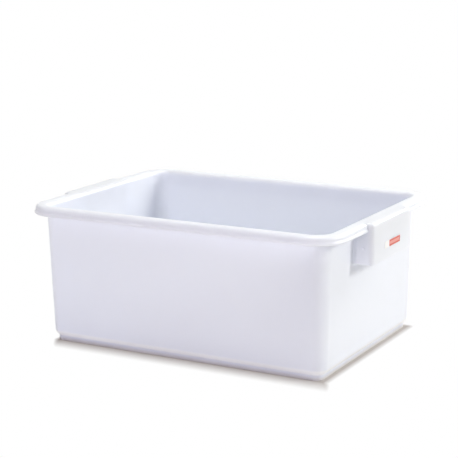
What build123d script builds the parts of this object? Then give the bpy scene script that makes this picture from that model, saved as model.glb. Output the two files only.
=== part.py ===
"""Deep rectangular tub with a rolled rim, a grip at each end and a blank label.

The tub is one plastic moulding. It is held here as a pan, a rim and two grips that meet face to face.
It stands on Z = 0 with its middle on the Z axis, its long sides along X and the label at the +X end.
"""
import os
from math import atan2, degrees

from build123d import *

os.makedirs("parts", exist_ok=True)

# Overall sizes, in millimetres
rim_length = 600.0        # over the lip, end to end
rim_width = 440.0         # over the lip, front to back
tub_height = 248.0

# Pan
wall_thickness = 3.5
wall_draft = 8.0          # how far each wall leans in from the rim down to the floor
base_radius = 15.0        # outside rounding where a wall turns into the floor
sole_corner = 5.0         # plan radius of the floor's flat underside at its corners
foot_height = 7.0         # the floor's underside stands this far off the ground, on a foot ring
foot_inset = 6.0          # from the wall's outside, carried down to the ground, in to the foot ring
foot_width = 3.5          # thickness of the foot ring
gate_radius = 5.0         # stub left in the middle of the underside by the moulding gate
gate_height = 0.8

# Rim
rim_overhang = 24.0       # from the outside of the wall to the edge of the lip
corner_ease = 5.0         # the rim's corners are this much rounder than the wall's
inner_edge = 5.0          # rounding from the flat land down into the tub
roll_radius = 7.0         # rounding from the flat land down to the skirt
skirt_face = 2.0          # upright stretch between the roll and the lip
lip_reach = 2.0           # how far the lip stands out from the skirt
lip_slope = 2.5           # height of the sloping top of the lip
lip_face = 3.5            # height of the upright edge of the lip

# Grips
grip_length = 166.0       # across the apron
grip_reach = 9.0          # how far the apron stands out past the lip
grip_drop = 71.0          # from the top of the rim to the lower edge of the apron
grip_side_flat = 0.5      # straight stretch, in plan, between the two roundings at each side of an apron
grip_corner_margin = 2.0  # the apron's corners are this much larger than the roll round their tops
pip_radius = 3.0          # small raised moulding pip in the middle of each cheek
pip_height = 1.0
pip_drop = 43.5

# Label
label_length = 66.0
label_height = 12.0
label_thickness = 0.2
label_corner = 1.5
label_drop = 46.0         # from the top of the rim to the middle of the label

# Places worked out from the sizes above
floor_top = wall_thickness + foot_height
rim_depth = roll_radius + skirt_face + lip_slope + lip_face
rim_seat = tub_height - rim_depth
wall_corner = sole_corner + base_radius + wall_draft
rim_corner = wall_corner + rim_overhang + corner_ease
land_underside = tub_height - wall_thickness
skirt_end = rim_length / 2 - lip_reach
land_end = skirt_end - roll_radius
apron_x = rim_length / 2 + grip_reach
grip_bottom = tub_height - grip_drop
grip_corner = roll_radius + grip_corner_margin
grip_blend = lip_reach + grip_reach - grip_corner - grip_side_flat
draft_angle = degrees(atan2(wall_draft, tub_height))
lip_angle = degrees(atan2(lip_reach, lip_slope))


def pan_step(height):
    """How far the outside of the pan's wall stands in from the edge of the lip at a height."""
    return rim_overhang + wall_draft * (1 - height / tub_height)


def rim_outline(step):
    """Length, width and corner radius of the lip's outline drawn in by a step."""
    return rim_length - 2 * step, rim_width - 2 * step, rim_corner - step


def pan_outline(step):
    """The same for an outline of the pan, whose corners are tighter."""
    return rim_length - 2 * step, rim_width - 2 * step, wall_corner + rim_overhang - step


# Room inside the tub, from the floor up to the top of the rim
with BuildPart() as cavity:
    with BuildSketch(Plane.XY.offset(floor_top)):
        RectangleRounded(*pan_outline(pan_step(floor_top) + wall_thickness))
    extrude(amount=tub_height - floor_top, taper=-draft_angle)
    fillet(cavity.faces().sort_by(Axis.Z)[0].edges(), base_radius - wall_thickness)

# Pan: a drafted block with a rounded bottom edge, hollowed out to the wall thickness, on a thin foot ring
with BuildPart() as tub_body:
    with BuildSketch(Plane.XY.offset(foot_height)):
        RectangleRounded(*pan_outline(pan_step(foot_height)))
    extrude(amount=rim_seat - foot_height, taper=-draft_angle)
    fillet(tub_body.faces().sort_by(Axis.Z)[0].edges(), base_radius)
    with BuildSketch():
        RectangleRounded(*pan_outline(pan_step(0) + foot_inset))
        RectangleRounded(*pan_outline(pan_step(0) + foot_inset + foot_width), mode=Mode.SUBTRACT)
    extrude(amount=floor_top)
    add(cavity.part, mode=Mode.SUBTRACT)
    with BuildSketch(Plane.XY.offset(foot_height)):
        Circle(gate_radius)
    extrude(amount=-gate_height)

# Rim and grips as one moulding, parted into its nodes below
with BuildPart() as upper_moulding:
    with BuildSketch(Plane.XY.offset(rim_seat)) as skirt_plan:
        RectangleRounded(*rim_outline(lip_reach))
        Rectangle(2 * apron_x, grip_length)
        grip_corners = skirt_plan.vertices().group_by(Axis.X)
        fillet(grip_corners[0] + grip_corners[-1], grip_corner)
        sides = skirt_plan.vertices().filter_by(lambda v: abs(abs(v.Y) - grip_length / 2) < 0.001)
        fillet(sides.filter_by(lambda v: abs(abs(v.X) - skirt_end) < 0.001), grip_blend)
    extrude(amount=rim_depth)
    fillet(upper_moulding.faces().sort_by(Axis.Z)[-1].edges(), roll_radius)

    # Lip round the lower edge of the skirt, with a sloping top
    with BuildSketch(Plane.XY.offset(rim_seat)):
        RectangleRounded(*rim_outline(0))
    extrude(amount=lip_face)
    with BuildSketch(Plane.XY.offset(rim_seat + lip_face)):
        RectangleRounded(*rim_outline(0))
    extrude(amount=lip_slope, taper=lip_angle)

    # Hollow under the land, behind the skirt and the lip
    with BuildSketch(Plane.XY.offset(rim_seat)):
        RectangleRounded(*rim_outline(lip_reach + wall_thickness))
        RectangleRounded(
            2 * (apron_x - wall_thickness), grip_length - 2 * wall_thickness, grip_corner - wall_thickness)
    extrude(amount=rim_depth - wall_thickness, mode=Mode.SUBTRACT)
    with BuildSketch(Plane.XY.offset(rim_seat)):
        RectangleRounded(*rim_outline(wall_thickness))
    extrude(amount=lip_face, mode=Mode.SUBTRACT)

    # Aprons and cheeks below the rim, open below, and the cheeks in the hollow, which end inside the lip
    with BuildSketch(Plane.XY.offset(grip_bottom)):
        RectangleRounded(2 * apron_x, grip_length, grip_corner)
        offset(amount=-wall_thickness, mode=Mode.SUBTRACT)
    extrude(amount=grip_drop - rim_depth)
    fillet(upper_moulding.faces().sort_by(Axis.Z)[0].edges(), wall_thickness / 3)
    with BuildSketch(Plane.XY.offset(rim_seat)):
        with GridLocations(0, grip_length - wall_thickness, 1, 2):
            Rectangle(rim_length - wall_thickness, wall_thickness)
    extrude(amount=rim_depth - wall_thickness)

    # The pan's wall runs on up to the land, and the tub is open above
    with BuildSketch():
        RectangleRounded(*pan_outline(pan_step(0)))
    extrude(amount=rim_seat, taper=-draft_angle, mode=Mode.SUBTRACT)
    with BuildSketch(Plane.XY.offset(rim_seat)):
        RectangleRounded(*pan_outline(pan_step(rim_seat)))
    extrude(amount=rim_depth, taper=-draft_angle)
    add(cavity.part, mode=Mode.SUBTRACT)
    mouth = upper_moulding.faces().sort_by(Axis.Z)[-1].inner_wires()
    fillet(mouth.edges(), inner_edge)

# Grip at the label end: all of the moulding outside the land's end, and its cheeks back to the wall
with BuildPart() as right_handle:
    add(upper_moulding.part)
    with BuildSketch(Plane.XZ):
        with BuildLine():
            Polyline(
                (rim_length / 2 - pan_step(0), 0),
                (2 * apron_x, 0),
                (2 * apron_x, 2 * tub_height),
                (land_end, 2 * tub_height),
                (land_end, land_underside),
                (rim_length / 2 - pan_step(land_underside), land_underside),
                close=True,
            )
        make_face()
    extrude(amount=grip_length / 2 + grip_blend, both=True, mode=Mode.INTERSECT)
    pip_z = tub_height - pip_drop
    pip_x = (rim_length / 2 - pan_step(pip_z) + apron_x) / 2
    with BuildSketch(Plane.XZ.offset(grip_length / 2)):
        with Locations((pip_x, pip_z)):
            Circle(pip_radius)
    pip = extrude(amount=pip_height, taper=45)
    mirror(pip, about=Plane.XZ)

with BuildPart() as left_handle:
    mirror(right_handle.part, about=Plane.YZ)

with BuildPart() as rim:
    add(upper_moulding.part)
    add(right_handle.part, mode=Mode.SUBTRACT)
    add(left_handle.part, mode=Mode.SUBTRACT)

# Thin adhesive label on the middle of the right apron
label_place = Plane(origin=(apron_x, 0, tub_height - label_drop), x_dir=(0, 1, 0), z_dir=(1, 0, 0))
with BuildPart() as end_label:
    with BuildSketch(label_place):
        RectangleRounded(label_length, label_height, label_corner)
    extrude(amount=label_thickness)

tub_body.part.label = "tub_body"
rim.part.label = "rim"
left_handle.part.label = "left_handle"
right_handle.part.label = "right_handle"
end_label.part.label = "end_label"
for piece in (tub_body, rim, left_handle, right_handle, end_label):
    export_step(piece.part, f"parts/{piece.part.label}.step")
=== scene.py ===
# %% [markdown]
# # A deep picking tub in white polyethylene
# The tub is one injection moulding: a drafted pan, a rolled rim with a small lip under it, and a hand
# grip at each end. A small printed label sits on the right-hand grip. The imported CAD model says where
# everything is, so it comes first, and the sizes below are read from it wherever it gives them.

# %% Load the frame
from math import acos, asin, cos, pi, radians, sin

import bmesh
import bpy
from bmesh.types import BMEdge, BMFace, BMVert
from mathutils import Matrix, Vector


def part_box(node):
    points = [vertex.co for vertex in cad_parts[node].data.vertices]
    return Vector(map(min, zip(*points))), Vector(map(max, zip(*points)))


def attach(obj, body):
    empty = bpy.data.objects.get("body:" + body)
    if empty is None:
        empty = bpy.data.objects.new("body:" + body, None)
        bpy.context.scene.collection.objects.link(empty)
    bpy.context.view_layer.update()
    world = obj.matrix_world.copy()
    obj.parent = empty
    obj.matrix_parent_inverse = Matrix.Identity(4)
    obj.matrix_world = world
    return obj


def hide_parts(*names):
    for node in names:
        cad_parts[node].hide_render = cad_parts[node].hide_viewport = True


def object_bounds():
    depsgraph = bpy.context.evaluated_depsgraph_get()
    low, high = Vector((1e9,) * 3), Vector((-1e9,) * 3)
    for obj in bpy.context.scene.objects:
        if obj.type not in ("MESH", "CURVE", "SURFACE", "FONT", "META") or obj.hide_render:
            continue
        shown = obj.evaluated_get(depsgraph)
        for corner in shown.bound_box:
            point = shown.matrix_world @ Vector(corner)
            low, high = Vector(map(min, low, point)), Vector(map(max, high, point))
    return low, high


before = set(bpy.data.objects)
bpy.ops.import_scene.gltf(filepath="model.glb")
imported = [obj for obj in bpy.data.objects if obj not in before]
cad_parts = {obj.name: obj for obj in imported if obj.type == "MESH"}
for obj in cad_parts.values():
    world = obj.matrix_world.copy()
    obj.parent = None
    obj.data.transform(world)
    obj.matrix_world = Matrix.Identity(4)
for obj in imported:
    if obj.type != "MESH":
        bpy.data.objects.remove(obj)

cad_low, cad_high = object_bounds()
print("CAD box in metres:", [round(c, 4) for c in cad_high - cad_low])

# %% [markdown]
# ## Sizes
# Blender works in metres here, so a size in millimetres is written as a number times `mm`. The places of
# the rim, the grips and the floor come from the CAD nodes. What a box can't give, such as a wall or a
# radius, is given one by one.

# %% Places read from the frame
mm = 0.001
litre = 0.001                                # in cubic metres

top = cad_high.z
lip_x, lip_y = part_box("rim")[1].xy
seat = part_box("tub_body")[1].z               # underside of the lip
apron_x = -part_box("left_handle")[0].x        # outer face of a grip
grip_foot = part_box("left_handle")[0].z       # lower edge of a grip
print("lip", round(seat / mm, 1), "mm up, grips down to", round(grip_foot / mm, 1), "mm")

# %% [markdown]
# The outlines of the rim are one rounded rectangle, drawn further in or out, and so are those of the
# pan. So each one is given by its reach: how far it stands out from a core rectangle, whose corners are
# the centres of the corner roundings. The rim and the pan have a core each, because the pan's corners
# are tighter.

# %% Sizes of the rim and the wall
wall = 3.5 * mm            # thickness of the plastic, before its edges are rounded
lip_corner = 57 * mm       # plan radius at the edge of the lip
wall_corner = 28 * mm      # plan radius at the top of the wall
overhang = 24 * mm         # from the outside of the wall to the edge of the lip
lip_step = 2 * mm          # the lip stands out this far from the skirt above it
roll = 7 * mm              # rounding from the flat land down to the skirt
skirt_face = 2 * mm        # upright stretch between the roll and the lip
lip_slope = 2.5 * mm       # height of the sloping top of the lip

core_x, core_y = lip_x - lip_corner, lip_y - lip_corner
pan_x, pan_y = lip_x - overhang - wall_corner, lip_y - overhang - wall_corner
skirt_out = lip_corner - lip_step
skirt_in = skirt_out - wall
wall_in = wall_corner - wall
flange_foot = top - roll - skirt_face
lip_edge = flange_foot - lip_slope
print("core of the rim, mm:", round(2 * core_x / mm), "x", round(2 * core_y / mm))
print("core of the pan, mm:", round(2 * pan_x / mm), "x", round(2 * pan_y / mm))

# %% [markdown]
# ## The plan
# A moulding like this could be lofted, or built from blocks joined with booleans. Here it is drawn once
# in plan, as a flat sheet of faces, and the sheet is then pulled up and down to make the solid. That
# keeps the walls equally thick, and the grips grow out of the rim with no seam, as they do on the real
# tub.
#
# Each vertex remembers which line of the plan it is on, and each face which zone it is in, because
# extruding copies those numbers along. So the later steps can ask for the wall or the skirt by name.

# %% The lines and zones of the plan, and three ways to grow it
WALL_IN, WALL_OUT, SKIRT_IN, SKIRT_OUT, GRIP_IN, ROOT = 1, 2, 3, 4, 5, 6
WALL, HOLLOW, SKIRT, GRIP = 1, 2, 3, 4

tub = bmesh.new()
line = tub.verts.layers.int.new("line")
zone = tub.faces.layers.int.new("zone")


def of_kind(geometry, kind):
    return [part for part in geometry if isinstance(part, kind)]


def push(edges, x=0.0, y=0.0):
    """Draws a row of edges out sideways, leaving faces behind it, and gives back the new row."""
    made = bmesh.ops.extrude_edge_only(tub, edges=edges)["geom"]
    bmesh.ops.translate(tub, verts=of_kind(made, BMVert), vec=(x, y, 0))
    return of_kind(made, BMEdge)


def turn(edges, centre, angle, steps):
    """Swings a row of edges round an upright axis, leaving faces behind it, and gives back the new row."""
    verts = {vert for edge in edges for vert in edge.verts}
    made = bmesh.ops.spin(tub, geom=[*verts, *edges], cent=(*centre, flange_foot), axis=(0, 0, 1),
                          angle=angle, steps=steps, use_merge=False)
    return of_kind(made["geom_last"], BMEdge)


def swing(vert, centre, angle, steps):
    """Draws an arc from a vertex round an upright axis, and gives back its last vertex and its edges."""
    arc = []
    step = Matrix.Rotation(angle / steps, 3, "Z")
    for _ in range(steps):
        made = bmesh.ops.extrude_vert_indiv(tub, verts=[vert])
        vert = made["verts"][0]
        bmesh.ops.rotate(tub, verts=[vert], cent=(*centre, flange_foot), matrix=step)
        arc += made["edges"]
    return vert, arc


print("the plan is drawn", round(flange_foot / mm, 1), "mm up, at the foot of the flange")

# %% [markdown]
# One quarter is enough, because the tub is its own mirror image both ways. A row of four vertices at the
# middle of the front marks the two faces of the wall and the two faces of the skirt. It runs along the
# front, turns the rim's corner and comes up the end as far as the grip. Then the two faces of the wall
# are drawn on to their own, tighter corner.

# %% Front, corner and end of one quarter
front_steps, corner_steps, end_steps = 4, 16, 2
grip_half = 83 * mm        # from the middle of a grip to the outside of its cheek
grip_room = 17 * mm        # the plain rim stops this far before the cheek
slack = 0.01 * mm          # places closer than this count as the same

start_lines = (pan_y + wall_in, pan_y + wall_corner, core_y + skirt_in, core_y + skirt_out)
starts = [tub.verts.new((0, -out, flange_foot)) for out in start_lines]
for number, vert in enumerate(starts, WALL_IN):
    vert[line] = number
row = [tub.edges.new(pair) for pair in zip(starts, starts[1:])]
for _ in range(front_steps):
    row = push(row, x=core_x / front_steps)
row = turn(row, (core_x, -core_y), pi / 2, corner_steps)
grip_start = grip_half + grip_room
for _ in range(end_steps):
    row = push(row, y=(core_y - grip_start) / end_steps)

for vert in tub.verts:
    arm = vert.co.xy - Vector((core_x, -core_y))
    if vert[line] in (WALL_IN, WALL_OUT) and arm.x > -slack and arm.y < slack:
        reach = wall_corner if vert[line] == WALL_OUT else wall_in
        vert.co.xy = Vector((pan_x, -pan_y)) + arm.normalized() * reach
print("plain rim of a quarter:", len(tub.faces), "faces")

# %% [markdown]
# At the grip the row parts. The wall goes straight on. The skirt swings outwards in a small arc and
# becomes the cheek, and the cheek runs right back to the wall, where a rounding on each side gives it a
# thicker root. What lies between is closed with single flat faces.

# %% The wall goes on, and a rounding leaves it where the cheek will stand
root_round = 6 * mm
root_steps = 4


def between(edges, first, second):
    return [edge for edge in edges if {vert[line] for vert in edge.verts} == {first, second}]


def end_on(edge, wanted):
    return next(vert for vert in edge.verts if vert[line] == wanted)


wall_edge = between(row, WALL_IN, WALL_OUT)
wall_marks = []
for length in (grip_room - root_round, root_round, wall, root_round, grip_half - wall - root_round):
    wall_edge = push(wall_edge, y=length)
    wall_marks.append(end_on(wall_edge[0], WALL_OUT))
outer_start, outer_root, _, inner_start, _ = wall_marks

root_ends = []
for start, angle in ((outer_start, -pi / 2), (inner_start, pi / 2)):
    end, arc = swing(start, (start.co.x + root_round, start.co.y), angle, root_steps)
    for vert in {vert for edge in arc for vert in edge.verts} - {start}:
        vert[line] = ROOT
    root_ends.append(end)
print("roots end", [round(end.co.y / mm, 1) for end in root_ends], "mm from the middle")

# %% The skirt swings out into the cheek
grip_blend = 1.5 * mm      # rounding where the rim's skirt runs into a cheek
meeting_steps, blend_steps = 2, 4

blend_centre = (core_x + skirt_out + grip_blend, -grip_half - grip_blend)
meeting = asin(grip_blend / (grip_blend + wall))     # where the inside of the skirt meets the cheek
skirt_edge = push(between(row, SKIRT_IN, SKIRT_OUT), y=grip_room - grip_blend)
skirt_edge = turn(skirt_edge, blend_centre, -meeting, meeting_steps)
inner, tip = end_on(skirt_edge[0], SKIRT_IN), end_on(skirt_edge[0], SKIRT_OUT)

tip, arc = swing(tip, blend_centre, meeting - pi / 2, blend_steps)
cheek_pairs = ((outer_root, root_ends[0]), (root_ends[0], inner), (inner, tip))
cheek = [tub.edges.new(pair) for pair in cheek_pairs]
bmesh.ops.edgeloop_fill(tub, edges=[cheek[-1], *skirt_edge, *arc])
print("the skirt meets the cheek at", [round(c / mm, 1) for c in tip.co.xy], "mm")

# %% The cheek and the apron
grip_corner = 9 * mm       # upright rounding between a cheek and the apron
grip_steps = 8

made = bmesh.ops.extrude_vert_indiv(tub, verts=[tip])
corner = made["verts"][0]
bmesh.ops.translate(tub, verts=[corner], vec=(apron_x - grip_corner - tip.co.x, 0, 0))
for edge in push([*cheek, *made["edges"]], y=wall):
    for vert in edge.verts:
        if vert[line] in (SKIRT_IN, SKIRT_OUT):
            vert[line] = GRIP_IN
apron = [edge for edge in corner.link_edges if edge.other_vert(corner)[line] == GRIP_IN]
apron = turn(apron, (corner.co.x, -grip_half + grip_corner), pi / 2, grip_steps)
apron = push(apron, y=grip_half - grip_corner)
bmesh.ops.remove_doubles(tub, verts=tub.verts[:], dist=slack)
print("apron", round(apron_x / mm, 1), "mm from the middle,", len(tub.faces), "faces so far")

# %% The flat faces between wall and grip
def open_edges(lines, low_y, high_y):
    """Edges that still lack a face, on the given lines and between two places along the end."""
    return [edge for edge in tub.edges if len(edge.link_faces) < 2 and all(
        vert[line] in lines and low_y - slack < vert.co.y < high_y + slack for vert in edge.verts)]


middle = {vert[line]: vert for vert in tub.verts if abs(vert.co.y) < slack}
tub.edges.new((middle[WALL_OUT], middle[GRIP_IN]))
cheek_back = -grip_half + wall
for lines, low_y, high_y in (
        ((WALL_OUT, ROOT), -grip_half - root_round, -grip_half),
        ((WALL_OUT, ROOT), cheek_back, cheek_back + root_round),
        ((WALL_OUT, ROOT, SKIRT_IN), -grip_start, -grip_half),
        ((WALL_OUT, ROOT, GRIP_IN), cheek_back, 0)):
    bmesh.ops.edgeloop_fill(tub, edges=open_edges(lines, low_y, high_y))
print("one quarter:", len(tub.faces), "faces")

# %% Zones, and the other three quarters
ZONES = {
    frozenset((WALL_IN, WALL_OUT)): WALL,
    frozenset((WALL_OUT, SKIRT_IN)): HOLLOW,
    frozenset((WALL_OUT, ROOT, SKIRT_IN)): HOLLOW,
    frozenset((WALL_OUT, ROOT, GRIP_IN)): HOLLOW,
    frozenset((SKIRT_IN, SKIRT_OUT)): SKIRT,
}
for face in tub.faces:
    face[zone] = ZONES.get(frozenset(vert[line] for vert in face.verts), GRIP)
for axis in "XY":
    bmesh.ops.mirror(tub, geom=[*tub.verts, *tub.edges, *tub.faces], matrix=Matrix.Identity(4),
                     merge_dist=slack, axis=axis)
print("whole plan:", len(tub.faces), "faces")

# %% [markdown]
# ## From plan to solid
# The sheet lies at the foot of the rim's rolled flange. Pulled up, it gives the flange. The zones
# between wall and skirt are then pushed back up from below, which leaves the hollow that fingers hook
# into. The rest goes down in stages: the lip, then the grips, then the walls alone.

# %% Helpers that read and set the reach of a vertex
draft = 8 * mm             # how far each wall leans in, from the rim down to the ground


def core_of(vert):
    """The nearest place in the core rectangle that a vertex belongs to."""
    half_x, half_y = (pan_x, pan_y) if vert[line] in (WALL_IN, WALL_OUT, ROOT) else (core_x, core_y)
    place = vert.co
    return Vector((max(-half_x, min(half_x, place.x)), max(-half_y, min(half_y, place.y)), place.z))


def reach_of(vert):
    return (vert.co - core_of(vert)).length


def set_reach(vert, reach):
    core = core_of(vert)
    vert.co = core + (vert.co - core).normalized() * reach


def wall_reach(which, height):
    """Reach of a face of the drafted wall at a height."""
    return (wall_corner if which == WALL_OUT else wall_in) - draft * (1 - height / top)


print("the outside of the wall reaches", round(wall_reach(WALL_OUT, 0) / mm, 1), "mm at the ground")

# %% Flange, hollow and lip
def carry(faces, height):
    """Extrudes faces to a new height, and gives back the moved faces and their vertices."""
    edges = {edge for face in faces for edge in face.edges}
    made = bmesh.ops.extrude_face_region(tub, geom=[*faces, *edges])["geom"]
    ring = of_kind(made, BMVert)
    for vert in ring:
        vert.co.z = height
    return of_kind(made, BMFace), ring


def in_zones(faces, *wanted):
    return [face for face in faces if face.is_valid and face[zone] in wanted]


plan = tub.faces[:]
carry(plan, top)
carry(in_zones(plan, HOLLOW), top - wall)
lower = in_zones(plan, WALL, SKIRT, GRIP)
for height in (lip_edge, seat):
    lower, ring = carry(lower, height)
    for vert in ring:
        if vert[line] == SKIRT_OUT:
            set_reach(vert, max(reach_of(vert), lip_corner))
        elif vert[line] == SKIRT_IN:
            set_reach(vert, max(reach_of(vert), lip_corner - wall))
print("rim:", len(tub.faces), "faces")

# %% Grips and drafted walls
base_round = 15 * mm       # outside rounding where a wall turns into the floor
foot_rise = 7 * mm         # height of the floor's underside
floor_up = foot_rise + wall
inside_round = base_round - wall
wall_foot = floor_up + inside_round

lower, ring = carry(in_zones(lower, WALL, GRIP), grip_foot)
for height in (grip_foot / 2, wall_foot):
    lower, ring = carry(in_zones(lower, WALL), height)
for vert in tub.verts:
    if vert[line] in (WALL_IN, WALL_OUT):
        set_reach(vert, wall_reach(vert[line], vert.co.z))
    elif vert[line] == ROOT:
        set_reach(vert, reach_of(vert) + wall_reach(WALL_OUT, vert.co.z) - wall_corner)
print("grips and walls:", len(tub.faces), "faces")

# %% [markdown]
# The bottom edge is rounded outside and, with a smaller radius, inside, so that the plastic stays
# equally thick. The two faces of the wall follow their own arcs, step by step. The inner one turns until
# it lies flat, and the floor closes it. The outer one stops where it meets a foot ring, which is set in
# from the wall and lifts the floor off the ground.

# %% Rounded bottom edge, floor and sole
base_steps = 8
foot_inset = 6 * mm        # from the wall, carried down to the ground, in to the foot ring
foot_out = wall_reach(WALL_OUT, 0) - foot_inset
outer_turn = acos(1 - (wall_reach(WALL_OUT, wall_foot) - foot_out) / base_round)
arcs = {WALL_OUT: (base_round, outer_turn), WALL_IN: (inside_round, pi / 2)}


def bottom_arc(which, share):
    """Height and reach of a face of the wall at a share of its turn into the floor."""
    radius, whole_turn = arcs[which]
    angle = share * whole_turn
    return wall_foot - radius * sin(angle), wall_reach(which, wall_foot) - radius * (1 - cos(angle))


for step in range(base_steps + 1):
    if step:
        lower, ring = carry(lower, 0)
    for vert in ring:
        vert.co.z, reach = bottom_arc(vert[line], step / base_steps)
        set_reach(vert, reach)
bmesh.ops.delete(tub, geom=lower, context="FACES_KEEP_BOUNDARY")
rings = [edge for edge in tub.edges if edge.is_boundary]
bmesh.ops.edgeloop_fill(tub, edges=between(rings, WALL_IN, WALL_IN))
sole_face = bmesh.ops.edgeloop_fill(tub, edges=between(rings, WALL_OUT, WALL_OUT))["faces"][0]
bmesh.ops.recalc_face_normals(tub, faces=tub.faces[:])
print("closed solid of", round(tub.calc_volume() / litre, 2), "litres of plastic")

# %% [markdown]
# The foot ring goes straight down to the ground and back up inside. In the middle of the underside is
# the round stub that the moulding gate leaves.

# %% Foot ring and underside
foot_ring = 3.5 * mm       # thickness of the ring
gate_radius = 5 * mm
gate_stub = 0.8 * mm
gate_taper = 0.9           # the stub's tip is this share of its root

faces, ring = carry([sole_face], 0)
foot_edges = list(faces[0].edges)
faces, ring = carry(faces, 0)
for vert in ring:
    set_reach(vert, foot_out - foot_ring)
foot_edges += faces[0].edges
faces, ring = carry(faces, foot_rise)
faces, ring = carry(faces, foot_rise)
for vert in ring:
    vert.co.xy = vert.co.xy.normalized() * gate_radius
faces, ring = carry(faces, foot_rise - gate_stub)
bmesh.ops.scale(tub, verts=ring, vec=(gate_taper, gate_taper, 1))
print("underside", foot_rise / mm, "mm off the ground inside a ring of", foot_ring / mm, "mm")

# %% [markdown]
# ## Roundings
# No edge of a moulding is sharp. The two sides of the land, the flat top of the rim, are rounded most.
# The land still carries the inner lines of the plan, so these are dissolved first, or the bevel would
# fold over them.

# %% Helpers that choose edges and round them
def at(edge, height):
    return all(abs(vert.co.z - height) < slack for vert in edge.verts)


def lines_of(edge):
    return sorted(vert[line] for vert in edge.verts)


def round_edges(edges, radius, segments):
    bmesh.ops.bevel(tub, geom=edges, offset=radius, offset_type="OFFSET", segments=segments, profile=0.5,
                    affect="EDGES", material=-1, clamp_overlap=False, loop_slide=True)
    bmesh.ops.recalc_face_normals(tub, faces=tub.faces[:])


print("edges on the land:", sum(at(edge, top) for edge in tub.edges))

# %% Round both sides of the land
inner_roll = 8 * mm        # rounding from the flat land down into the tub
land_segments = 6


def on_mouth(edge):
    return at(edge, top) and lines_of(edge) == [WALL_IN, WALL_IN]


def on_roll(edge):
    return at(edge, top) and lines_of(edge) == [SKIRT_OUT, SKIRT_OUT]


def on_grip(edge):
    return all(abs(vert.co.y) < grip_start - slack for vert in edge.verts)


plan_lines = ([WALL_OUT, WALL_OUT], [SKIRT_IN, SKIRT_IN])
spare = [edge for edge in tub.edges if at(edge, top) and (
    lines_of(edge) in plan_lines or on_grip(edge) and not (on_mouth(edge) or on_roll(edge)))]
bmesh.ops.dissolve_edges(tub, edges=spare, use_verts=True, use_face_split=False)
round_edges([edge for edge in tub.edges if on_mouth(edge)], inner_roll, land_segments)
round_edges([edge for edge in tub.edges if on_roll(edge)], roll, land_segments)
print("land rounded by", inner_roll / mm, "and", roll / mm, "mm,", len(tub.faces), "faces")

# %% Round the lip
lip_rounds = {lip_edge: 1.0 * mm, seat: 1.5 * mm}
edge_segments = 3


def on_lip(edge, height):
    return at(edge, height) and lines_of(edge) == [SKIRT_OUT, SKIRT_OUT] and all(
        abs(reach_of(vert) - lip_corner) < slack for vert in edge.verts)


for height, radius in lip_rounds.items():
    round_edges([edge for edge in tub.edges if on_lip(edge, height)], radius, edge_segments)
print("lip rounded,", len(tub.faces), "faces")

# %% [markdown]
# The lower edge of a grip runs into the wall at both ends. A bevel ends cleanly only where three edges
# meet, so the flat end wall round it is first made one face, and so is the flat lower side of the grip.

# %% Round the lower edges of the grips and the foot ring
foot_round = 1.2 * mm      # at the lower edges of a grip
ring_round = 0.8 * mm      # at the foot ring
off_wall = 0.1 * mm        # a vertex this far out from the wall is no longer on it


def on_end_wall(face):
    return all(vert[line] == WALL_OUT and abs(vert.co.x) > pan_x and abs(vert.co.y) < pan_y + slack
               and vert.co.z > wall_foot - slack for vert in face.verts)


def on_grip_foot(face):
    return face.normal.z < -0.9 and all(abs(vert.co.z - grip_foot) < slack for vert in face.verts)


def at_foot(edge):
    """An edge between the lower side of a grip and its upright sides."""
    if all(reach_of(vert) <= wall_reach(WALL_OUT, grip_foot) + off_wall for vert in edge.verts):
        return False
    return sorted(on_grip_foot(face) for face in edge.link_faces) == [False, True]


for flat in (on_end_wall, on_grip_foot):
    spare = [edge for edge in tub.edges if all(flat(face) for face in edge.link_faces)]
    bmesh.ops.dissolve_edges(tub, edges=spare, use_verts=True, use_face_split=False)
round_edges([edge for edge in tub.edges if at_foot(edge)], foot_round, edge_segments)
round_edges(foot_edges, ring_round, edge_segments)
print("grips rounded,", len(tub.faces), "faces")

# %% [markdown]
# Where a root thins out against the wall, the bevel is wider than the root is deep, and its last
# vertices end up behind the wall. Each of them is welded to the nearest vertex that lies on the wall at
# the same height.

# %% Weld the ends of that rounding to the wall
def depth(vert):
    """How far a vertex stands behind the outside of the end wall."""
    return pan_x + wall_reach(WALL_OUT, vert.co.z) - abs(vert.co.x)


low = [vert for vert in tub.verts if abs(vert.co.y) < grip_start and abs(vert.co.x) > pan_x
       and grip_foot - slack < vert.co.z < grip_foot + foot_round]
on_wall = [vert for vert in low if abs(depth(vert)) < slack]
welds = {}
for vert in low:
    if slack < depth(vert) < wall / 2:
        level = [other for other in on_wall if abs(other.co.z - vert.co.z) < 2 * slack]
        welds[vert] = min(level, key=lambda other: (other.co - vert.co).length)
bmesh.ops.weld_verts(tub, targetmap=welds)
bmesh.ops.recalc_face_normals(tub, faces=tub.faces[:])
print("welded", len(welds), "vertices")

# %% [markdown]
# ## The pips
# A small raised pip shows in the middle of each cheek, the mark of an ejector in the mould. Four cuts
# through the cheek's flat face leave a square, whose edges are divided and drawn on to a circle. Two
# short extrusions dome it.

# %% A raised pip on each cheek
pip_radius = 3 * mm
pip_height = 1 * mm
pip_drop = 43.5 * mm       # from the top of the rim to the middle of a pip
pip_cuts = 3               # new vertices along each side of the square
pip_dome = ((0.8, 0.7), (0.5, 0.3))     # for each extrusion, how far it shrinks and its share of the height
pip_z = top - pip_drop
pip_x = (pan_x + wall_reach(WALL_OUT, pip_z) + apron_x) / 2
square_sides = [Vector(side) for side in ((1, 0, 0), (-1, 0, 0), (0, 0, 1), (0, 0, -1))]


def face_round(place):
    """The face of a cheek that holds a place."""
    flat = [face for face in tub.faces if abs(face.normal.y) > 0.99
            and abs(face.calc_center_median().y - place.y) < pip_height / 2]
    return next(face for face in flat if bmesh.geometry.intersect_face_point(face, place))


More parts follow.
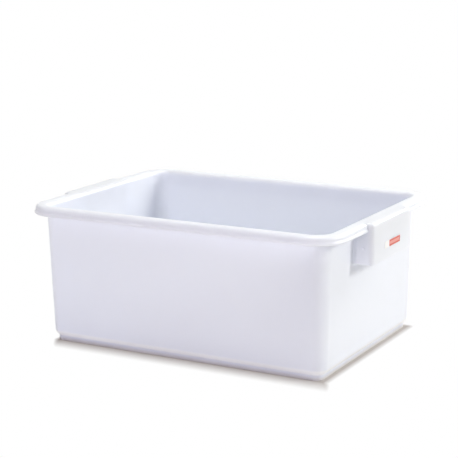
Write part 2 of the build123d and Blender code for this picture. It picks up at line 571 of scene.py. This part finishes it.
for side_x in (1, -1):
    for side_y in (1, -1):
        place = Vector((side_x * pip_x, side_y * grip_half, pip_z))
        for cut in square_sides:
            face = face_round(place)
            bmesh.ops.bisect_plane(tub, geom=[face, *face.edges, *face.verts], dist=slack,
                                   plane_co=place + cut * pip_radius, plane_no=cut)
        face = face_round(place)
        bmesh.ops.subdivide_edges(tub, edges=face.edges[:], cuts=pip_cuts)
        face = face_round(place)
        for vert in face.verts:
            vert.co = place + (vert.co - place).normalized() * pip_radius
        for shrink, rise in pip_dome:
            made = bmesh.ops.extrude_face_region(tub, geom=[face, *face.edges])["geom"]
            face = of_kind(made, BMFace)[0]
            bmesh.ops.translate(tub, verts=face.verts, vec=(0, side_y * rise * pip_height, 0))
            bmesh.ops.scale(tub, verts=face.verts, vec=(shrink, 1, shrink),
                            space=Matrix.Translation(-place))
bmesh.ops.recalc_face_normals(tub, faces=tub.faces[:])
print("pips at", round(pip_x / mm, 1), "and", round(pip_z / mm, 1), "mm")

# %% [markdown]
# ## The finished moulding
# The mesh becomes an object that stands for the four CAD nodes of the moulding. Smooth shading with
# weighted normals keeps the large walls flat and lets the roundings carry the light, and only true
# corners stay sharp.

# %% Make the moulding an object
sharp_from = radians(40)

open_count = sum(not edge.is_manifold for edge in tub.edges)
volume = tub.calc_volume() / litre
tub_mesh = bpy.data.meshes.new("tub_moulding")
tub.to_mesh(tub_mesh)
tub.free()
for polygon in tub_mesh.polygons:
    polygon.use_smooth = True
tub_mesh.set_sharp_from_angle(angle=sharp_from)
moulding = bpy.data.objects.new("tub_moulding", tub_mesh)
bpy.context.scene.collection.objects.link(moulding)
normals = moulding.modifiers.new("weighted normals", "WEIGHTED_NORMAL")
normals.keep_sharp = True

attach(moulding, "root")
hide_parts("tub_body", "rim", "left_handle", "right_handle")
print("moulding:", len(tub_mesh.polygons), "faces,", open_count, "open edges,", round(volume, 3), "litres")

# %% [markdown]
# ## Materials
# Colours are written as sRGB hex values and turned to linear light by one function. One small function
# adds a shader node, sets what it is told and links its inputs.

# %% Colour and node helpers
colour_mix = {"data_type": "RGBA"}      # settings of a Mix node that mixes colours


def linear(code):
    """An sRGB hex colour as linear red, green, blue and alpha."""
    shares = [int(code[i:i + 2], 16) / 255 for i in (1, 3, 5)]
    return [s / 12.92 if s <= 0.04045 else ((s + 0.055) / 1.055) ** 2.4 for s in shares] + [1.0]


def node(tree, kind, settings=None, **inputs):
    """Adds a node, and sets its inputs by name, with _ for a space, or by number, as in0.

    An input is a value, a socket to link from, or a node, which is linked from its first output.
    """
    made = tree.nodes.new(kind)
    for name, value in (settings or {}).items():
        setattr(made, name, value)
    for name, value in inputs.items():
        socket = made.inputs[int(name[2:]) if name.startswith("in") else name.replace("_", " ")]
        if isinstance(value, bpy.types.Node):
            value = value.outputs[0]
        if isinstance(value, bpy.types.NodeSocket):
            tree.links.new(value, socket)
        else:
            socket.default_value = value
    return made


def new_material(name):
    material = bpy.data.materials.new(name)
    material.use_nodes = True
    material.node_tree.nodes.clear()
    return material


def per_metre(size):
    """Noise scale for features of a size in metres."""
    return 1 / size


print("half grey in linear light:", round(linear("#808080")[0], 3))

# %% [markdown]
# ### White polyethylene
# The tub is white high-density polyethylene, injection moulded in a finely etched mould. It looks satin
# rather than glossy. Light travels some millimetres under its surface, so a wall glows a little where
# light falls on its other side. The inside turns slightly blue, because light bounces about there. Large
# walls of such a moulding are never quite flat, so a very low swell bends their reflections. A paler band
# round the bottom edge is a painted highlight, standing in for light thrown up from the floor, and the
# foot ring is painted darker, as painted shade in its recess under the wall.

# %% White polyethylene: colour, painted highlight and painted shade
highlight_height = 14 * mm       # middle of the painted highlight, a paler band on the bottom edge
highlight_core = 2 * mm          # full painted highlight as far as this from the middle of the band
highlight_end = 6 * mm           # no painted highlight beyond this

polyethylene = new_material("polyethylene_moulded_white")
tree = polyethylene.node_tree
place = node(tree, "ShaderNodeTexCoord").outputs["Object"]
cloud = node(tree, "ShaderNodeTexNoise", Vector=place, Scale=per_metre(45 * mm), Detail=3.0)
tone = node(tree, "ShaderNodeMix", colour_mix, in0=cloud, in6=linear("#EAEEFC"), in7=linear("#ECF0FD"))
height = node(tree, "ShaderNodeSeparateXYZ", Vector=place).outputs["Z"]
from_band = node(tree, "ShaderNodeMath", {"operation": "SUBTRACT"}, in0=height, in1=highlight_height)
from_band = node(tree, "ShaderNodeMath", {"operation": "ABSOLUTE"}, in0=from_band)
# Painted highlight: a paler band round the bottom rounding stands in for light thrown up from the floor.
rub = node(tree, "ShaderNodeMapRange", Value=from_band, From_Min=highlight_end, From_Max=highlight_core)
tone = node(tree, "ShaderNodeMix", colour_mix, in0=rub, in6=tone.outputs[2], in7=linear("#F7F9FF"))
# Painted shade: the foot ring is painted darker, standing in for the shadow in its recess under the wall.
scuff = node(tree, "ShaderNodeMapRange", Value=height, From_Min=foot_rise, From_Max=0.0)
tone = node(tree, "ShaderNodeMix", colour_mix, in0=scuff, in6=tone.outputs[2], in7=linear("#DEDAD6"))
print("rubbed", highlight_height / mm, "mm up, scuffed below", foot_rise / mm, "mm")

# %% White polyethylene: surface and glow
glow_depth = 8 * mm        # how far light travels under the surface

swell = node(tree, "ShaderNodeTexNoise", Vector=place, Scale=per_metre(120 * mm), Detail=1.0)
# The real etch is about 0.1 mm across. It is drawn at 1.5 mm so that it shows at all.
etch = node(tree, "ShaderNodeTexNoise", Vector=place, Scale=per_metre(1.5 * mm), Detail=2.0)
polish = node(tree, "ShaderNodeMapRange", Value=cloud, From_Min=0.3, From_Max=0.7, To_Min=0.29, To_Max=0.37)
swell_bump = node(tree, "ShaderNodeBump", Height=swell, Strength=0.5, Distance=0.4 * mm)
etch_bump = node(tree, "ShaderNodeBump", Height=etch, Strength=0.12, Distance=0.05 * mm, Normal=swell_bump)
plastic = node(tree, "ShaderNodeBsdfPrincipled", Base_Color=tone.outputs[2], Roughness=polish,
               Normal=etch_bump, IOR=1.53, Subsurface_Weight=1.0, Subsurface_Radius=(1.0, 1.0, 1.0),
               Subsurface_Scale=glow_depth)
node(tree, "ShaderNodeOutputMaterial", Surface=plastic)
tub_mesh.materials.append(polyethylene)
print("material:", polyethylene.name)

# %% [markdown]
# ### Printed vinyl label
# The label is a thin white vinyl sticker. A plain red field with a paler panel for writing on is printed
# on its right part, and its left part is bare. Each printed shape is a box in the plane of the grip's
# outer face, measured from the label's own CAD box.

# %% Printed vinyl
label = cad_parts["end_label"]
label_low, label_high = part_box("end_label")
bare_part = 19 * mm        # from the left end of the label to the red field
margin = 0.5 * mm          # bare edge round the red field
border = 3 * mm            # red edge round the paler panel

vinyl = new_material("vinyl_printed_red")
tree = vinyl.node_tree
place = node(tree, "ShaderNodeTexCoord").outputs["Object"]
_, along_label, up_label = node(tree, "ShaderNodeSeparateXYZ", Vector=place).outputs


def printed(low_y, high_y, low_z, high_z):
    """A mask that is 1 inside a box on the label."""
    inside = [node(tree, "ShaderNodeMath", {"operation": "COMPARE"}, in0=axis, in1=(low + high) / 2,
                   in2=(high - low) / 2)
              for axis, low, high in ((along_label, low_y, high_y), (up_label, low_z, high_z))]
    return node(tree, "ShaderNodeMath", {"operation": "MULTIPLY"}, in0=inside[0], in1=inside[1])


field = [label_low.y + bare_part, label_high.y - margin, label_low.z + margin, label_high.z - margin]
panel = [edge + border * side for edge, side in zip(field, (1, -1, 1, -1))]
ink = node(tree, "ShaderNodeTexNoise", Vector=place, Scale=per_metre(2 * mm), Detail=2.0)
red = node(tree, "ShaderNodeMix", colour_mix, in0=ink, in6=linear("#CF4A3C"), in7=linear("#D95A4A"))
face_colour = node(tree, "ShaderNodeMix", colour_mix, in0=printed(*field), in6=linear("#F4F4F4"),
                   in7=red.outputs[2])
face_colour = node(tree, "ShaderNodeMix", colour_mix, in0=printed(*panel), in6=face_colour.outputs[2],
                   in7=linear("#E79A8C"))
sticker = node(tree, "ShaderNodeBsdfPrincipled", Base_Color=face_colour.outputs[2], Roughness=0.3, IOR=1.5)
node(tree, "ShaderNodeOutputMaterial", Surface=sticker)
label.data.materials.clear()
label.data.materials.append(vinyl)
print("label", [round(c / mm, 1) for c in label_high - label_low], "mm")

# %% [markdown]
# ## Floor and backdrop
# The tub stands on a white studio sweep. Near the tub the floor is matt white paper that takes the
# shadow, and it darkens towards the foot as the ground in the photograph does. This shade comes furthest
# forward in front, and drifts to the right on its way. Further out, what the camera sees is even white,
# so the ground has no horizon.

# %% Floor
floor_size = 12.0          # from the middle to each side

floor_bm = bmesh.new()
bmesh.ops.create_grid(floor_bm, x_segments=1, y_segments=1, size=floor_size)
floor_mesh = bpy.data.meshes.new("studio_floor")
floor_bm.to_mesh(floor_mesh)
floor_bm.free()
floor = bpy.data.objects.new("studio_floor", floor_mesh)
bpy.context.scene.collection.objects.link(floor)
print("floor", 2 * floor_size, "m square")

# %% [markdown]
# The shade on the paper follows the distance from the foot ring. It is measured in lengths of the shade,
# so that 0 is at the foot and 1 is where the shade ends on that side.

# %% Distance from the foot, in lengths of the shade
shadow_long = 42 * mm      # beyond this the ground in front is even white
shadow_end = 11 * mm       # the same at the ends and behind
shadow_shift = 5 * mm      # the shade lies this much further to the right
shadow_lean = 0.55         # sideways drift of the shade for each length that it comes forward
foot_x, foot_y = pan_x + foot_out, pan_y + foot_out

paper = new_material("paper_matt_white")
tree = paper.node_tree
place = node(tree, "ShaderNodeTexCoord").outputs["Object"]
across, along, _ = node(tree, "ShaderNodeSeparateXYZ", Vector=place).outputs
front = node(tree, "ShaderNodeMath", {"operation": "ADD"}, in0=along, in1=foot_y)
front = node(tree, "ShaderNodeMath", {"operation": "MINIMUM"}, in0=front, in1=0.0)
across = node(tree, "ShaderNodeMath", {"operation": "SUBTRACT"}, in0=across, in1=shadow_shift)
across = node(tree, "ShaderNodeMath", {"operation": "MULTIPLY_ADD"}, in0=front, in1=shadow_lean, in2=across)
side = node(tree, "ShaderNodeMath", {"operation": "ABSOLUTE"}, in0=across)
side = node(tree, "ShaderNodeMath", {"operation": "SUBTRACT"}, in0=side, in1=foot_x)
behind = node(tree, "ShaderNodeMath", {"operation": "SUBTRACT"}, in0=along, in1=foot_y)
spot = node(tree, "ShaderNodeCombineXYZ", X=side, Y=front, Z=behind)
spot = node(tree, "ShaderNodeVectorMath", {"operation": "MAXIMUM"}, in0=spot, in1=(0, -floor_size, 0))
spot = node(tree, "ShaderNodeVectorMath", {"operation": "DIVIDE"}, in0=spot,
            in1=(shadow_end, shadow_long, shadow_end))
away = node(tree, "ShaderNodeVectorMath", {"operation": "LENGTH"}, in0=spot).outputs["Value"]
print("the shade ends", shadow_long / mm, "mm in front and", shadow_end / mm, "mm beyond the ends")

# %% Paper
shadow_share = 0.4         # how much of the cast shadow on the paper shows at the foot
shadow_bend = 0.7          # under 1, the shade thins quickly near the foot and slowly further out

fade = node(tree, "ShaderNodeMapRange", {"interpolation_type": "SMOOTHSTEP"}, Value=away,
            To_Min=1 - shadow_share)
rays = node(tree, "ShaderNodeLightPath").outputs
seen = node(tree, "ShaderNodeMath", {"operation": "MAXIMUM"}, in0=rays["Is Camera Ray"],
            in1=rays["Is Glossy Ray"])
seen = node(tree, "ShaderNodeMath", {"operation": "MULTIPLY"}, in0=fade, in1=seen)
thinned = node(tree, "ShaderNodeMath", {"operation": "MINIMUM"}, in0=away, in1=1.0)
thinned = node(tree, "ShaderNodeMath", {"operation": "POWER"}, in0=thinned, in1=shadow_bend)
shade = node(tree, "ShaderNodeMix", colour_mix, in0=thinned, in6=linear("#9A8E86"), in7=linear("#FFFFFF"))
matt = node(tree, "ShaderNodeBsdfDiffuse", Color=linear("#F8F5F0"))
white = node(tree, "ShaderNodeEmission", Color=shade.outputs[2], Strength=1.0)
mixed = node(tree, "ShaderNodeMixShader", in0=seen, in1=matt, in2=white)
node(tree, "ShaderNodeOutputMaterial", Surface=mixed)
floor_mesh.materials.append(paper)
print("material:", paper.name)

# %% [markdown]
# Behind the floor the world is plain white, to the camera and in reflections. It gives no light of its
# own, so only the lamps light the tub.

# %% World
world = bpy.data.worlds.new("studio")
bpy.context.scene.world = world
world.use_nodes = True
tree = world.node_tree
tree.nodes.clear()
rays = node(tree, "ShaderNodeLightPath").outputs
seen = node(tree, "ShaderNodeMath", {"operation": "MAXIMUM"}, in0=rays["Is Camera Ray"],
            in1=rays["Is Glossy Ray"])
seen = node(tree, "ShaderNodeMath", {"operation": "MAXIMUM"}, in0=seen, in1=rays["Is Transmission Ray"])
ambient = node(tree, "ShaderNodeBackground", Color=linear("#FFFFFF"), Strength=0.0)
backdrop = node(tree, "ShaderNodeBackground", Color=linear("#FFFFFF"), Strength=1.0)
mixed = node(tree, "ShaderNodeMixShader", in0=seen, in1=ambient, in2=backdrop)
node(tree, "ShaderNodeOutputWorld", Surface=mixed)
print("world:", world.name)

# %% [markdown]
# ## Light
# The photograph is lit by a strong soft light at the label end, weaker ones from above and from the
# front, and one from behind that shines into the tub and through its front wall. Each is an area lamp,
# placed by its direction from the tub.

# %% Soft boxes
tub_middle = Vector((0, 0, top / 2))


def direction(azimuth, elevation):
    """Unit vector from the tub. Azimuth 0 is straight in front, 90 is the label end."""
    a, e = radians(azimuth), radians(elevation)
    return Vector((sin(a) * cos(e), -cos(a) * cos(e), sin(e)))


def soft_box(name, azimuth, elevation, distance, size, watts, colour):
    lamp = bpy.data.lights.new(name, "AREA")
    lamp.shape = "SQUARE"
    lamp.size = size
    lamp.energy = watts
    lamp.color = linear(colour)[:3]
    box = bpy.data.objects.new(name, lamp)
    toward = direction(azimuth, elevation)
    box.location = tub_middle + toward * distance
    box.rotation_euler = toward.to_track_quat("Z", "Y").to_euler()
    bpy.context.scene.collection.objects.link(box)


soft_box("key_right", azimuth=110, elevation=25, distance=6.0, size=1.6, watts=187, colour="#FFFFFF")
soft_box("back_light", azimuth=155, elevation=25, distance=2.6, size=0.7, watts=22, colour="#FFFFFF")
soft_box("overhead", azimuth=0, elevation=89, distance=2.6, size=1.4, watts=46, colour="#FFFFFF")
soft_box("fill_front", azimuth=2, elevation=8, distance=2.6, size=1.4, watts=29, colour="#F8F0FF")

# %% [markdown]
# ## Camera
# The view was fitted to the edges of the tub in the photograph: a long lens, a little above the rim,
# seen from between the front and the label end.

# %% Camera
view_azimuth, view_elevation, view_roll = 29.05, 12.47, -0.52     # in degrees
view_distance = 2.5663
frame_shift_x, frame_shift_y = -6.2 * mm, 67.23 * mm
focal_pixels, frame_pixels = 1423.9, 458

back = direction(view_azimuth, view_elevation)
right = direction(view_azimuth + 90, 0)
turned = Matrix((right, back.cross(right), back)).transposed() @ Matrix.Rotation(radians(view_roll), 3, "Z")
eye = tub_middle + turned.col[0] * frame_shift_x + turned.col[1] * frame_shift_y + back * view_distance
lens = bpy.data.cameras.new("camera")
lens.sensor_fit = "HORIZONTAL"
lens.lens = lens.sensor_width * focal_pixels / frame_pixels
camera = bpy.data.objects.new("camera", lens)
camera.matrix_world = Matrix.Translation(eye) @ turned.to_4x4()
bpy.context.scene.collection.objects.link(camera)
bpy.context.scene.camera = camera
bpy.context.scene.view_settings.view_transform = "Standard"
print("camera at", [round(c, 3) for c in eye], "lens", round(lens.lens, 1), "mm")
